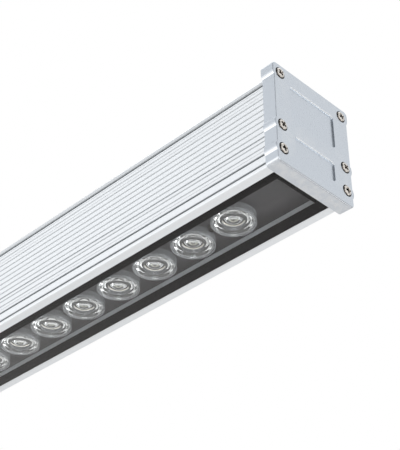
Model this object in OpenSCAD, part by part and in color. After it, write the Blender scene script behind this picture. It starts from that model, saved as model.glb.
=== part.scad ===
// Outdoor wall washer light: a finned aluminium bar with thirty lenses behind a glass window,
// cast end caps, a rail along its back and two tilting wall brackets that slide in the rail.
// X runs along the bar, Z points from the window to the back, and the end caps stand on Z = 0.

/* [Bar] */
// Length of the light over its two end caps
lamp_l = 1000; // [900:10:1500]
// Width of the extruded body
body_w = 53; // [50:0.5:60]
// Height of the extruded body
body_h = 60; // [56:1:80]
// Wall thickness of the extruded body
wall_t = 2.2; // [1.8:0.1:2.8]
// Thickness of the web that carries the LED boards and the driver
web_t = 3; // [2:0.5:5]
// Radius of the body's two upper corners
top_corner_r = 4.2; // [2:0.1:5]
// Radius of the body's two lower corners
low_corner_r = 0.9; // [0.4:0.1:1.5]

/* [Fins on the sides] */
// Width of the three deep grooves on each side
deep_groove_w = 1.4; // [1:0.1:2]
// Depth of the three deep grooves on each side
deep_groove_d = 1.1; // [0.6:0.1:1.2]
// Width of the shallow grooves between the fins
fin_groove_w = 1; // [0.6:0.1:1.6]
// Depth of the shallow grooves between the fins
fin_groove_d = 0.45; // [0.2:0.05:0.8]

/* [Window] */
// Width of the body's lower rim beside the glass
rim_w = 5.75; // [5:0.05:7]
// Thickness of the glass
glass_t = 3; // [2:0.5:4]
// Gap between the glass and its seat, on each side
glass_gap = 0.25; // [0.1:0.05:0.5]
// Width of the printed border along each side of the glass
border_w = 6.35; // [5:0.05:8]
// Width of the printed border at each end of the glass
end_border_w = 4.3; // [2:0.1:12]
// Thickness of the printed border
ink_t = 0.2; // [0.1:0.05:0.3]
// Thickness of the sealant bead under the glass
seal_t = 0.3; // [0.2:0.05:0.6]
// How far each glass ledge reaches in past the edge of the glass
ledge_w = 6.05; // [4:0.05:7]
// Thickness of the glass ledges
ledge_t = 3; // [2:0.5:4]

/* [Light engine] */
// Least distance from the body's end to the middle of the last lens
lens_margin = 46; // [38:1:60]
// Gap between a lens holder and each glass ledge
lens_side_gap = 2.2; // [1:0.1:4]
// Free space between two lens holders
lens_space = 5.5; // [3:0.1:10]
// Height of a lens holder over the board
lens_h = 5.6; // [5:0.2:9]
// Air gap between the lenses and the glass
lens_air = 2; // [1:0.2:5]
// Thickness of the wall beside the LED channel
channel_wall = 5.5; // [4:0.1:7]
// Gap between an LED board and each side of its channel
board_side_gap = 1; // [0.5:0.1:4]
// Thickness of an LED board
board_t = 1.6; // [1:0.1:2]
// Gap left at both ends of a board
board_gap = 0.5; // [0.2:0.1:2]

/* [End caps] */
// How far the lobes of an end cap stand out past the body's sides
cap_over = 3.5; // [3:0.1:6]
// How far an end cap stands up past the body's back
cap_rise = 2.8; // [2:0.1:5]
// Thickness of an end cap
cap_t = 8.5; // [6:0.5:12]
// How far an end cap stands below the body
cap_drop = 2.2; // [1:0.2:3]
// Radius of the lobes round the screws
lobe_r = 5.6; // [5:0.1:6]
// How far the cap's sides lie inside the lobes
cap_side_in = 1; // [0.4:0.1:1.6]
// Radius of the cap's two upper corners
cap_top_r = 2.5; // [1:0.1:4.5]
// Radius of the cap's two lower corners
cap_low_r = 2; // [0.5:0.1:3]
// Depth of the two shallow panels in the cap's face
panel_d = 0.9; // [0.5:0.1:2]
// Thickness of the rubber gasket behind a cap
gasket_t = 1; // [0.5:0.1:2]

/* [Cap screws] */
// Diameter of a cap screw's head
cap_screw_head_d = 6; // [5:0.1:7.2]
// Height of a cap screw's head
cap_screw_head_h = 2.4; // [1.5:0.1:3]
// How far a cap screw's head stands out of the cap's face
cap_screw_proud = 0.8; // [0:0.1:1]
// Diameter of a cap screw's shank
cap_screw_d = 2.9; // [2.4:0.1:3]
// Length of a cap screw under its head
cap_screw_l = 22; // [14:1:30]
// Height of the middle pair of cap screws
mid_screw_z = 24.6; // [23:0.2:32]
// Height of the lower pair of cap screws
low_screw_z = 9.5; // [8:0.1:10.5]

/* [Rail] */
// Width of the rail's slot in the back
rail_slot_w = 8.4; // [7:0.1:10]
// Width of the rail's groove under the slot
rail_groove_w = 15; // [13:0.1:16]
// Height of the rail's groove
rail_groove_h = 4.6; // [4.2:0.1:6]
// Thickness of the rail's lips
rail_lip_t = 2; // [1.5:0.1:3]

/* [Wall brackets] */
// Distance of each bracket from the middle of the bar
bracket_x = 150; // [80:5:220]
// Thickness of the bracket sheet
sheet_t = 3; // [2:0.5:4]
// Height of the tilt pivot over the back
pivot_h = 24; // [23:0.5:40]
// Distance from the pivot to the wall face
foot_reach = 24; // [21:0.5:40]
// Length of a bracket shoe along the rail
shoe_l = 48; // [44:1:60]
// Width of a bracket shoe's base
shoe_w = 30; // [20:1:32]
// Width of a wall foot's plate
foot_w = 36; // [30:1:38]
// Width of the ears at the pivot
ear_w = 18; // [14:1:20]
// Diameter of the bolts
bolt_d = 6; // [5:0.5:6.5]
// Distance between the two slots of a wall foot
slot_pitch = 26; // [24:1:28]
// Width of a slot in a wall foot
slot_w = 6.5; // [5:0.5:8]
// Length of a slot in a wall foot, end to end
slot_l = 12; // [9:0.5:13]

/* [Cable gland] */
// Distance from the rail's underside down to the middle of the gland
gland_room = 10.9; // [10:0.1:13]
// Thread diameter of the gland
gland_d = 12; // [10:0.5:13]
// Diameter of the cable that the gland seals
cable_d = 6.5; // [4:0.5:7]
// Width across the flats of the gland's hexagons
gland_af = 16; // [15:0.5:17]
// Length of the gland's dome nut
gland_nut_l = 14; // [11:0.5:18]
// Thickness of the gland's collar
gland_collar_t = 5; // [3:0.5:7]

/* [Driver] */
// Length of the driver board
driver_l = 260; // [200:10:320]
// Gap between the driver's tray and the screw ports beside it
tray_side_gap = 0.9; // [0.3:0.1:4]
// Distance from the body's end to the driver board
driver_end_gap = 160.5; // [60:0.5:180]

/* [Hidden] */
$fn = 64;
cut = 0.5;
fit = 0.05;
slip = 0.1;

// Widths of the bar, and the overall size of an end cap
glass_w = body_w - 2 * rim_w;
clear_w = glass_w - 2 * border_w;
ledge_gap_w = glass_w - 2 * ledge_w;
channel_w = body_w - 2 * channel_wall;
board_w = channel_w - 2 * board_side_gap;
lens_d = ledge_gap_w - 2 * lens_side_gap;
lens_pitch = lens_d + lens_space;
cap_w = body_w + 2 * cap_over;
cap_h = cap_drop + body_h + cap_rise;

// Levels of the bar, counted up from the end caps' lower edge
body_z = cap_drop;
body_top_z = body_z + body_h;
glass_top_z = body_z + glass_t;
ledge_z = glass_top_z + ink_t + seal_t;
ledge_top_z = ledge_z + ledge_t;
lens_z = glass_top_z + lens_air;
board_z = lens_z + lens_h;
web_z = board_z + board_t;
web_top_z = web_z + web_t;
roof_z = body_top_z - wall_t;
rail_top_z = body_top_z - rail_lip_t;
rail_floor_z = rail_top_z - rail_groove_h;
rail_block_z = rail_floor_z - wall_t;
gland_z = rail_block_z - gland_room;

// Ends of the bar, and the shift that puts the middle of its overall length at X = 0
body_l = lamp_l - 2 * (cap_t + gasket_t);
body_end = body_l / 2;
cap_end = lamp_l / 2;
gland_ring_t = 1.5;
gasket_lap = 1;
gland_out = gland_ring_t + gland_collar_t + gland_nut_l - panel_d;
bar_shift = (gland_out - cap_screw_proud) / 2;

// Screws of the end caps
port_d = cap_screw_d + 2 * fit;
port_wall = 1.2;
port_spare = 4;
port_depth = cap_screw_l + port_spare;
screw_y = cap_w / 2 - lobe_r;
top_screw_z = cap_h - lobe_r;
screw_zs = [low_screw_z, mid_screw_z, top_screw_z];
cap_hole_d = 3.6;
head_gap = 0.4;

// Panels in the caps' faces, as shares of the cap's width and height
panel_upper_shares = [0.577, 0.512, 0.848];
panel_lower_shares = [0.51, 0.155, 0.348];
panel_r = 1.8;

// Grooves along the sides: height share of the body, width share, depth share
deep_groove_shares = [[0.047, 1, 1], [0.143, 1, 1], [0.901, 1.35, 1]];
fin_groove_shares = [
  [0.183, 0.6, 0.5], [0.223, 1, 1], [0.283, 1, 1], [0.328, 1.1, 1.4], [0.387, 1, 1],
  [0.447, 1, 1], [0.507, 1, 1], [0.568, 1, 1], [0.628, 1, 1], [0.689, 1, 1],
  [0.75, 1, 1], [0.787, 0.6, 0.5], [0.828, 1, 0.9], [0.867, 0.6, 0.5]
];
groove_floor_share = 0.45;

// Lenses and their holders, as shares of the holder's diameter and height
holder_wall = 0.75;
holder_shelf_share = 0.45;
lens_gap = 0.1;
lens_flange_share = 0.22;
lens_back_share = 0.46;
lens_well_share = 0.456;
lens_well_depth_share = 0.5;
lens_cup_share = 0.34;
lens_cup_depth_share = 0.36;
chip_w_share = 0.2;
chip_window_share = 0.168;
chip_w = lens_d * chip_w_share;
chip_window_d = lens_d * chip_window_share;
chip_base_h = 1.2;
chip_window_h = 0.3;
board_l = body_end - 2 * board_gap;
board_mid = body_end / 2;

// Screws and wires inside
small_screw_d = 3;
small_head_d = 5.5;
small_head_h = 1.8;
board_screws_per_side = 4;
wire_d = 1.4;
link_wire_y_share = 0.3;
link_wire_reach = 6;
led_wire_y = 1.8;
led_wire_bend_r = 4;
wire_hole_d = 6;
grommet_flange_d = 10;
grommet_flange_t = 1;
grommet_wall = 1.2;

// Driver, its tray and its parts, as shares of the board's length and width
tray_t = 1.2;
tray_lip_h = 7.5;
tray_gap = 0.6;
standoff_h = 3;
standoff_d = 7;
driver_board_t = 1.6;
driver_x = body_end - driver_end_gap - driver_l / 2;
driver_hole_x_share = 0.46;
driver_hole_y_share = 0.38;
driver_z = web_top_z + tray_t + standoff_h;
driver_top_z = driver_z + driver_board_t;
tray_w = 2 * (screw_y - port_d / 2 - port_wall - tray_side_gap);
driver_w = tray_w - 2 * (tray_gap + tray_t);
driver_room = rail_block_z - driver_top_z;
tray_l = driver_l + 2 * (tray_gap + tray_t);
terminal_shares = [0.06, 0.54, 0.4];
block_l = driver_l * terminal_shares[0];
block_w = driver_w * terminal_shares[1];
block_h = driver_room * terminal_shares[2];
block_x_share = 0.42;
lug_d = 8;
lug_t = 0.8;
earth_screw_d = 4;
earth_head_d = 8;
earth_head_h = 2.6;
earth_gap = 14;

// Brackets
pivot_z = body_top_z + pivot_h;
foot_top_z = pivot_z + foot_reach;
shoe_z = body_top_z + slip;
bend_r = 2;
washer_t = 1;
washer_d = 14;
bolt_head_af = 10;
bolt_head_h = 4;
flange_d = 13;
flange_t = 1.2;
nut_t = 5;
bolt_end = 1.5;
bolt_gap = 0.2;
rail_nut_l = 28;
rail_nut_gap = 0.3;
rail_nut_h = rail_groove_h - 2 * rail_nut_gap;
foot_l = shoe_l + 2 * (washer_t + 2 * slip + sheet_t);
foot_corner_r = 3;

// Cable gland
gland_ring_w = 2.5;
gland_ring_d = gland_d + 2 * gland_ring_w;
gland_wall = 1.4;
gland_lock_t = 3;
gland_lock_af = 15;
gland_end = 1;
gland_socket_l = 9;
gland_seal_l = 8;
gland_dome_share = 0.45;
hex = 6;

// As many lenses as each half of the bar has room for
lens_n = 2 * floor((body_end - lens_margin) / lens_pitch + 1 / 2);

function lens_x(i) = (i - (lens_n - 1) / 2) * lens_pitch;

// Carries a child from the bar's own middle to the middle of the overall length
module on_bar() {
  translate([bar_shift, 0, 0]) children();
}

// Turns a section drawn as Y and Z into a bar along X, centred on x
module along_x(length, x = 0) {
  translate([x - length / 2, 0, 0])
    rotate([90, 0, 90]) linear_extrude(height = length) children();
}

// A hole along Z from height z, cut past both of its ends
module drill(d, z, h) {
  translate([0, 0, z - cut]) cylinder(d = d, h = h + 2 * cut);
}

module at_both_sides() {
  children();
  mirror([1, 0, 0]) children();
}

module hexagon(across_flats) {
  circle(d = across_flats / cos(180 / hex), $fn = hex);
}

// A rectangle whose four corners may be round, standing on the line y = 0
module round_rect(w, h, r) {
  translate([-w / 2 + r, 0]) square([w - 2 * r, h]);
  if (h > 2 * r) translate([-w / 2, r]) square([w, h - 2 * r]);
  for (x = [-w / 2 + r, w / 2 - r], y = [r, h - r]) translate([x, y]) circle(r = r);
}

// Outer outline of the body, with larger corners at the top
module body_outline() {
  half = body_w / 2;
  difference() {
    translate([-half, 0]) square([body_w, body_h]);
    at_both_sides() {
      difference() {
        translate([half - top_corner_r, body_h - top_corner_r]) square(top_corner_r + cut);
        translate([half - top_corner_r, body_h - top_corner_r]) circle(r = top_corner_r);
      }
      difference() {
        translate([half - low_corner_r, -cut]) square(low_corner_r + cut);
        translate([half - low_corner_r, low_corner_r]) circle(r = low_corner_r);
      }
    }
  }
}

// One groove in the right side, narrower at its floor
module side_groove(z, w, d) {
  translate([body_w / 2, z])
    polygon([[cut, -w / 2], [0, -w / 2], [-d, -w * groove_floor_share / 2],
             [-d, w * groove_floor_share / 2], [0, w / 2], [cut, w / 2]]);
}

module side_grooves() {
  for (s = deep_groove_shares) side_groove(body_h * s[0], deep_groove_w * s[1], deep_groove_d * s[2]);
  for (s = fin_groove_shares) side_groove(body_h * s[0], fin_groove_w * s[1], fin_groove_d * s[2]);
}

// Round ports for the cap screws, as circles of the given diameter
module at_ports() {
  for (y = [-screw_y, screw_y], z = screw_zs) translate([y, z]) children();
}

// The driver's space over the web, without the screw ports and the rail
module driver_space() {
  half = body_w / 2 - wall_t;
  difference() {
    translate([-half, web_top_z]) square([2 * half, roof_z - web_top_z]);
    at_ports() circle(d = port_d + 2 * port_wall);
    translate([-rail_groove_w / 2 - wall_t, rail_block_z])
      square([rail_groove_w + 2 * wall_t, roof_z - rail_block_z + cut]);
  }
}

module rail_section() {
  translate([-rail_slot_w / 2, rail_top_z - cut]) square([rail_slot_w, rail_lip_t + 2 * cut]);
  translate([-rail_groove_w / 2, rail_floor_z]) square([rail_groove_w, rail_groove_h]);
}

// Glass seat, opening between the ledges, and the LED channel up to the web
module window_section() {
  seat_w = glass_w + 2 * glass_gap;
  translate([-seat_w / 2, body_z - cut]) square([seat_w, ledge_z - body_z + cut]);
  translate([-ledge_gap_w / 2, ledge_z - cut]) square([ledge_gap_w, ledge_t + 2 * cut]);
  translate([-channel_w / 2, ledge_top_z]) square([channel_w, web_z - ledge_top_z]);
}

module body_section() {
  difference() {
    translate([0, body_z]) body_outline();
    translate([0, body_z]) at_both_sides() side_grooves();
    window_section();
    driver_space();
    rail_section();
  }
}

module housing() {
  color([0.9, 0.92, 0.94]) on_bar() difference() {
    along_x(body_l) body_section();
    for (side = [-1, 1]) along_x(port_depth + cut, side * (body_end - (port_depth - cut) / 2))
      at_ports() circle(d = port_d);
    for (x = board_screw_xs()) translate([x, 0, 0]) drill(small_screw_d, web_z, web_t);
    at_driver_holes() drill(small_screw_d, web_z, web_t);
    translate([wire_x(), 0, 0]) drill(wire_hole_d, web_z, web_t);
    translate([earth_x(), 0, 0]) drill(earth_screw_d, web_z, web_t);
  }
}

// Outline of an end cap: straight sides, a lobe beside each screw, round corners
module cap_outline() {
  side_w = cap_w - 2 * cap_side_in;
  translate([-side_w / 2, cap_low_r]) square([side_w, top_screw_z - cap_low_r]);
  translate([-side_w / 2 + cap_low_r, 0]) square([side_w - 2 * cap_low_r, cap_low_r + cut]);
  translate([-cap_w / 2, top_screw_z]) square([cap_w, lobe_r - cap_top_r]);
  translate([-cap_w / 2 + cap_top_r, top_screw_z - cut]) square([cap_w - 2 * cap_top_r, lobe_r + cut]);
  for (y = [-1, 1]) translate([y * (cap_w / 2 - cap_top_r), cap_h - cap_top_r]) circle(r = cap_top_r);
  for (y = [-1, 1]) translate([y * (side_w / 2 - cap_low_r), cap_low_r]) circle(r = cap_low_r);
  at_ports() circle(r = lobe_r);
}

module panel(shares) {
  translate([0, cap_h * shares[1]])
    round_rect(cap_w * shares[0], cap_h * (shares[2] - shares[1]), panel_r);
}

module right_cap_solid() {
  sink = cap_screw_head_h - cap_screw_proud;
  difference() {
    along_x(cap_t, cap_end - cap_t / 2) cap_outline();
    along_x(panel_d + cut, cap_end - (panel_d - cut) / 2) {
      panel(panel_upper_shares);
      panel(panel_lower_shares);
    }
    along_x(cap_t + 2 * cut, cap_end - cap_t / 2) at_ports() circle(d = cap_hole_d);
    along_x(sink + cut, cap_end - (sink - cut) / 2)
      at_ports() circle(d = cap_screw_head_d + 2 * head_gap);
  }
}

module right_end_cap() {
  color([0.78, 0.81, 0.85]) on_bar() right_cap_solid();
}

// Mirror image of the right cap, with the gland's hole and a flat seat for the gland's ring
module left_end_cap() {
  seat_w = gland_ring_d + 2 * fit;
  color([0.78, 0.81, 0.85]) on_bar() difference() {
    mirror([1, 0, 0]) right_cap_solid();
    along_x(panel_d + cut, -cap_end + (panel_d - cut) / 2) translate([0, gland_z]) circle(d = seat_w);
    along_x(cap_t + 2 * cut, -cap_end + cap_t / 2)
      translate([0, gland_z]) circle(d = gland_d + 2 * fit);
  }
}

// Flat rubber gasket with the body's outline, open over the driver and round the screws
module gasket() {
  half = body_w / 2 - 2 * wall_t;
  along_x(gasket_t, body_end + gasket_t / 2) difference() {
    translate([0, body_z]) body_outline();
    difference() {
      translate([-half, web_top_z]) square([2 * half, rail_block_z - gasket_lap - web_top_z]);
      at_ports() circle(d = port_d + 2 * (port_wall + wall_t));
    }
    at_ports() circle(d = cap_hole_d);
  }
}

module right_end_gasket() {
  color([0.15, 0.15, 0.16]) on_bar() gasket();
}

module left_end_gasket() {
  color([0.15, 0.15, 0.16]) on_bar() mirror([1, 0, 0]) gasket();
}

// Pan head screws with a cross recess
module cap_screws() {
  head_x = cap_end + cap_screw_proud;
  recess_w = 1;
  recess_l = cap_screw_head_d / 2;
  recess_d = cap_screw_head_h / 2;
  difference() {
    union() {
      along_x(cap_screw_head_h, head_x - cap_screw_head_h / 2) at_ports() circle(d = cap_screw_head_d);
      along_x(cap_screw_l, head_x - cap_screw_head_h - cap_screw_l / 2)
        at_ports() circle(d = cap_screw_d);
    }
    along_x(recess_d + cut, head_x - (recess_d - cut) / 2) at_ports() {
      square([recess_l, recess_w], center = true);
      square([recess_w, recess_l], center = true);
    }
  }
}

module right_cap_screws() {
  color([0.75, 0.73, 0.7]) on_bar() cap_screws();
}

module left_cap_screws() {
  color([0.75, 0.73, 0.7]) on_bar() mirror([1, 0, 0]) cap_screws();
}

module window_glass() {
  color([0.75, 0.85, 0.85, 0.4]) on_bar()
    translate([-body_l / 2, -glass_w / 2, body_z]) cube([body_l, glass_w, glass_t]);
}

// A flat frame under the glass, as wide as w, round an opening of the given size
module frame_sheet(w, open_l, open_w, z, t) {
  difference() {
    translate([-body_l / 2, -w / 2, z]) cube([body_l, w, t]);
    translate([-open_l / 2, -open_w / 2, z - cut]) cube([open_l, open_w, t + 2 * cut]);
  }
}

module window_border() {
  color([0.1, 0.1, 0.11]) on_bar()
    frame_sheet(glass_w, body_l - 2 * end_border_w, clear_w, glass_top_z, ink_t);
}

module window_sealant() {
  color([0.2, 0.2, 0.2]) on_bar()
    frame_sheet(glass_w, body_l - 2 * end_border_w, ledge_gap_w, glass_top_z + ink_t, seal_t);
}

function board_screw_xs() = [
  for (side = [-1, 1], i = [0 : board_screws_per_side - 1])
    side * lens_pitch * (1 + floor((i + 1 / 2) * lens_n / 2 / board_screws_per_side))
];

function wire_x() = lens_pitch;
function earth_x() = -driver_x - driver_l / 2 - earth_gap;

// LED board of the right half, with holes for its screws and the wires
module led_board() {
  translate([board_mid - board_l / 2, -board_w / 2, board_z]) cube([board_l, board_w, board_t]);
}

module board_screw_holes() {
  for (x = board_screw_xs()) translate([x, 0, 0]) drill(small_screw_d, board_z, board_t);
}

module right_led_board() {
  color([0.12, 0.12, 0.13]) on_bar() difference() {
    led_board();
    board_screw_holes();
    translate([wire_x(), 0, 0]) drill(wire_hole_d, board_z, board_t);
  }
}

module left_led_board() {
  color([0.12, 0.12, 0.13]) on_bar() difference() {
    mirror([1, 0, 0]) led_board();
    board_screw_holes();
  }
}

// Square LED packages with a round window that looks down at the lens
module led_chips() {
  color([0.85, 0.83, 0.7]) on_bar() for (i = [0 : lens_n - 1]) translate([lens_x(i), 0, board_z]) {
    translate([-chip_w / 2, -chip_w / 2, -chip_base_h]) cube([chip_w, chip_w, chip_base_h]);
    translate([0, 0, -chip_base_h - chip_window_h]) cylinder(d = chip_window_d, h = chip_window_h);
  }
}

// Cylindrical holder, open at the front, with a shelf that carries the lens's edge
module lens_holder() {
  shelf_r = lens_d / 2 * (1 - lens_flange_share);
  rotate_extrude() polygon([
    [lens_d / 2 - holder_wall, 0], [lens_d / 2, 0], [lens_d / 2, lens_h], [shelf_r, lens_h],
    [shelf_r, lens_h * holder_shelf_share], [lens_d / 2 - holder_wall, lens_h * holder_shelf_share]
  ]);
}

module lens_holders() {
  color([0.8, 0.82, 0.84, 0.6]) on_bar()
    for (i = [0 : lens_n - 1]) translate([lens_x(i), 0, lens_z]) lens_holder();
}

// Solid lens: a flange on the holder's shelf, a cone to the back, a front well and a cup over the chip
module lens() {
  edge_r = lens_d / 2 - holder_wall - lens_gap;
  cone_r = lens_d / 2 * (1 - lens_flange_share) - 2 * lens_gap;
  back_r = lens_d / 2 * lens_back_share;
  back_h = lens_h - lens_gap;
  flange_h = lens_h * holder_shelf_share;
  well_h = lens_h * lens_well_depth_share;
  difference() {
    rotate_extrude() polygon([
      [0, 0], [edge_r, 0], [edge_r, flange_h], [cone_r, flange_h], [back_r, back_h], [0, back_h]
    ]);
    translate([0, 0, -cut]) cylinder(d = lens_d * lens_well_share, h = well_h + cut);
    translate([0, 0, lens_h * (1 - lens_cup_depth_share)])
      cylinder(d = lens_d * lens_cup_share, h = lens_h * lens_cup_depth_share + cut);
  }
}

module lenses() {
  color([0.85, 0.88, 0.9, 0.5]) on_bar()
    for (i = [0 : lens_n - 1]) translate([lens_x(i), 0, lens_z]) lens();
}

// Small pan head screw that points up, with its head under z = 0
module small_screw(length) {
  translate([0, 0, -small_head_h]) cylinder(d = small_head_d, h = small_head_h);
  cylinder(d = small_screw_d - 2 * fit, h = length);
}

module board_screws() {
  color([0.7, 0.7, 0.72]) on_bar()
    for (x = board_screw_xs()) translate([x, 0, board_z]) small_screw(board_t + web_t);
}

// Two insulated links soldered over the joint of the boards
module board_link_wires() {
  y = board_w * link_wire_y_share;
  color([0.7, 0.1, 0.1]) on_bar() for (s = [-1, 1])
    translate([-link_wire_reach, s * y, board_z - wire_d / 2 - slip])
      rotate([0, 90, 0]) cylinder(d = wire_d, h = 2 * link_wire_reach);
}

module at_driver_holes() {
  x = driver_l * driver_hole_x_share;
  y = driver_w * driver_hole_y_share;
  for (sx = [-1, 1], sy = [-1, 1]) translate([-driver_x + sx * x, sy * y, 0]) children();
}

// Insulating tray under the driver board, with low walls and four standoffs
module driver_tray() {
  color([0.2, 0.2, 0.22]) on_bar() difference() {
    union() {
      translate([-driver_x - tray_l / 2, -tray_w / 2, web_top_z]) difference() {
        cube([tray_l, tray_w, tray_lip_h]);
        translate([tray_t, tray_t, tray_t]) cube([tray_l - 2 * tray_t, tray_w - 2 * tray_t, tray_lip_h]);
        translate([tray_l - tray_t - cut, tray_w / 2 - led_wire_y - wire_d, tray_t])
          cube([tray_t + 2 * cut, 2 * (led_wire_y + wire_d), tray_lip_h]);
      }
      at_driver_holes() translate([0, 0, web_top_z]) cylinder(d = standoff_d, h = tray_t + standoff_h);
    }
    at_driver_holes() drill(small_screw_d, web_top_z, tray_t + standoff_h);
  }
}

module driver_board() {
  color([0.1, 0.4, 0.2]) on_bar() difference() {
    translate([-driver_x, 0, driver_z]) block(driver_l, driver_w, driver_board_t);
    at_driver_holes() drill(small_screw_d, driver_z, driver_board_t);
  }
}

// Places a child on the driver board by shares of the board's length and width
module on_driver(x_share, y_share = 0) {
  translate([-driver_x + driver_l * x_share, driver_w * y_share, driver_top_z]) children();
}

module block(l, w, h) {
  translate([-l / 2, -w / 2, 0]) cube([l, w, h]);
}

// Shares are of the driver board's length and width and of the room over it
module driver_block(shares) {
  block(driver_l * shares[0], driver_w * shares[1], driver_room * shares[2]);
}

module driver_can(shares) {
  cylinder(d = driver_w * shares[0], h = driver_room * shares[1]);
}

module driver_components() {
  core_x_shares = [0.05, 0.18];
  choke_x_shares = [-0.32, -0.24];
  inlet_cap_x_share = -0.12;
  inlet_cap_y_shares = [-0.25, 0.25];
  outlet_cap_x_shares = [0.28, 0.34];
  outlet_cap_y_shares = [-0.2, 0.2];
  switch_x_share = -0.03;
  varistor_x_share = -0.38;
  core_shares = [0.1, 0.63, 0.66];
  choke_shares = [0.06, 0.37, 0.6];
  switch_shares = [0.018, 0.26, 0.53];
  inlet_cap_shares = [0.42, 0.73];
  outlet_cap_shares = [0.26, 0.6];
  varistor_d_share = 0.32;
  varistor_t_share = 0.016;
  varistor_d = driver_w * varistor_d_share;
  varistor_t = driver_l * varistor_t_share;
  color([0.25, 0.25, 0.3]) on_bar() {
    for (x = core_x_shares) on_driver(x) driver_block(core_shares);
    for (x = choke_x_shares) on_driver(x) driver_block(choke_shares);
    on_driver(switch_x_share) driver_block(switch_shares);
    for (y = inlet_cap_y_shares) on_driver(inlet_cap_x_share, y) driver_can(inlet_cap_shares);
    for (x = outlet_cap_x_shares, y = outlet_cap_y_shares) on_driver(x, y) driver_can(outlet_cap_shares);
    on_driver(varistor_x_share) translate([-varistor_t / 2, 0, varistor_d / 2])
      rotate([0, 90, 0]) cylinder(d = varistor_d, h = varistor_t);
  }
}

module driver_screws() {
  color([0.7, 0.7, 0.72]) on_bar() at_driver_holes() translate([0, 0, driver_top_z]) mirror([0, 0, 1])
    small_screw(driver_top_z - web_z);
}

// Terminal block for the supply, with three screw wells and three wire entries
module terminal_block() {
  well_d = 3.5;
  pole_pitch = block_w / 3;
  color([0.15, 0.45, 0.25]) on_bar() on_driver(-block_x_share) difference() {
    block(block_l, block_w, block_h);
    for (i = [-1 : 1]) translate([0, i * pole_pitch, block_h / 2]) cylinder(d = well_d, h = block_h);
    for (i = [-1 : 1]) translate([-block_l / 2 - cut, i * pole_pitch, block_h / 4])
      rotate([0, 90, 0]) cylinder(d = well_d, h = block_l / 3 + cut);
  }
}

// Two wires from the driver's output, along the web and down through the grommet to the board
module led_wires() {
  run_z = driver_top_z + wire_d / 2;
  start_x = -driver_x + driver_l / 2 - wire_hole_d;
  color([0.75, 0.1, 0.1]) on_bar() for (s = [-1, 1]) translate([0, s * led_wire_y / 2, 0]) {
    translate([start_x, 0, run_z]) rotate([0, 90, 0])
      cylinder(d = wire_d, h = wire_x() - led_wire_bend_r - start_x);
    translate([wire_x() - led_wire_bend_r, 0, run_z - led_wire_bend_r]) rotate([90, 0, 0])
      rotate_extrude(angle = 90) translate([led_wire_bend_r, 0]) circle(d = wire_d);
    translate([wire_x(), 0, board_z]) cylinder(d = wire_d, h = run_z - led_wire_bend_r - board_z);
  }
}

module wire_grommet() {
  bore_d = wire_hole_d - 2 * grommet_wall;
  color([0.1, 0.1, 0.1]) on_bar() translate([wire_x(), 0, 0]) difference() {
    union() {
      translate([0, 0, web_z]) cylinder(d = wire_hole_d - 2 * fit, h = web_t);
      translate([0, 0, web_top_z]) cylinder(d = grommet_flange_d, h = grommet_flange_t);
    }
    drill(bore_d, web_z, web_t + grommet_flange_t);
  }
}

module earth_screw() {
  color([0.8, 0.7, 0.3]) on_bar() translate([earth_x(), 0, 0]) {
    translate([0, 0, web_top_z + lug_t]) cylinder(d = earth_head_d, h = earth_head_h);
    translate([0, 0, web_z]) cylinder(d = earth_screw_d - 2 * fit, h = web_t + lug_t + fit);
  }
}

// Ring lug under the earth screw and its wire to the terminal block
module earth_wire() {
  wire_z = driver_top_z + block_h / 4;
  rise_x = earth_x() + lug_d;
  block_end = -driver_x - driver_l * block_x_share - block_l / 2;
  color([0.6, 0.7, 0.1]) on_bar() {
    difference() {
      union() {
        translate([earth_x(), 0, web_top_z]) cylinder(d = lug_d, h = lug_t);
        translate([earth_x(), -wire_d / 2, web_top_z]) cube([lug_d, wire_d, lug_t]);
      }
      translate([earth_x(), 0, 0]) drill(earth_screw_d, web_top_z, lug_t);
    }
    translate([rise_x, 0, web_top_z]) cylinder(d = wire_d, h = wire_z - web_top_z);
    translate([rise_x, 0, wire_z]) sphere(d = wire_d);
    translate([rise_x, 0, wire_z]) rotate([0, 90, 0])
      cylinder(d = wire_d, h = block_end + block_l / 4 - rise_x);
  }
}

// Cable gland: every piece turns about its own axis, which leaves the left cap towards -X
module on_gland() {
  on_bar() translate([-cap_end + panel_d, 0, gland_z]) rotate([0, -90, 0]) children();
}

module gland_body() {
  inner_l = cap_t - panel_d + gland_lock_t + gland_end;
  collar_z = gland_ring_t;
  whole_l = inner_l + collar_z + gland_collar_t + gland_socket_l;
  color([0.15, 0.15, 0.16]) on_gland() difference() {
    union() {
      translate([0, 0, -inner_l]) cylinder(d = gland_d, h = inner_l + collar_z + cut);
      translate([0, 0, collar_z]) linear_extrude(height = gland_collar_t) hexagon(gland_af);
      translate([0, 0, collar_z]) cylinder(d = gland_d, h = gland_collar_t + gland_socket_l);
    }
    drill(cable_d + gland_wall, -inner_l, whole_l);
    translate([0, 0, collar_z + gland_collar_t + gland_socket_l - gland_seal_l])
      cylinder(d = gland_d - 2 * gland_wall, h = gland_seal_l + cut);
  }
}

module gland_o_ring() {
  color([0.05, 0.05, 0.05]) on_gland() difference() {
    cylinder(d = gland_ring_d, h = gland_ring_t);
    drill(gland_d + 2 * fit, 0, gland_ring_t);
  }
}

module gland_seal() {
  color([0.3, 0.3, 0.3]) on_gland()
    translate([0, 0, gland_ring_t + gland_collar_t + gland_socket_l - gland_seal_l]) difference() {
      cylinder(d = gland_d - 2 * gland_wall - 2 * fit, h = gland_seal_l);
      drill(cable_d, 0, gland_seal_l);
    }
}

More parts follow.
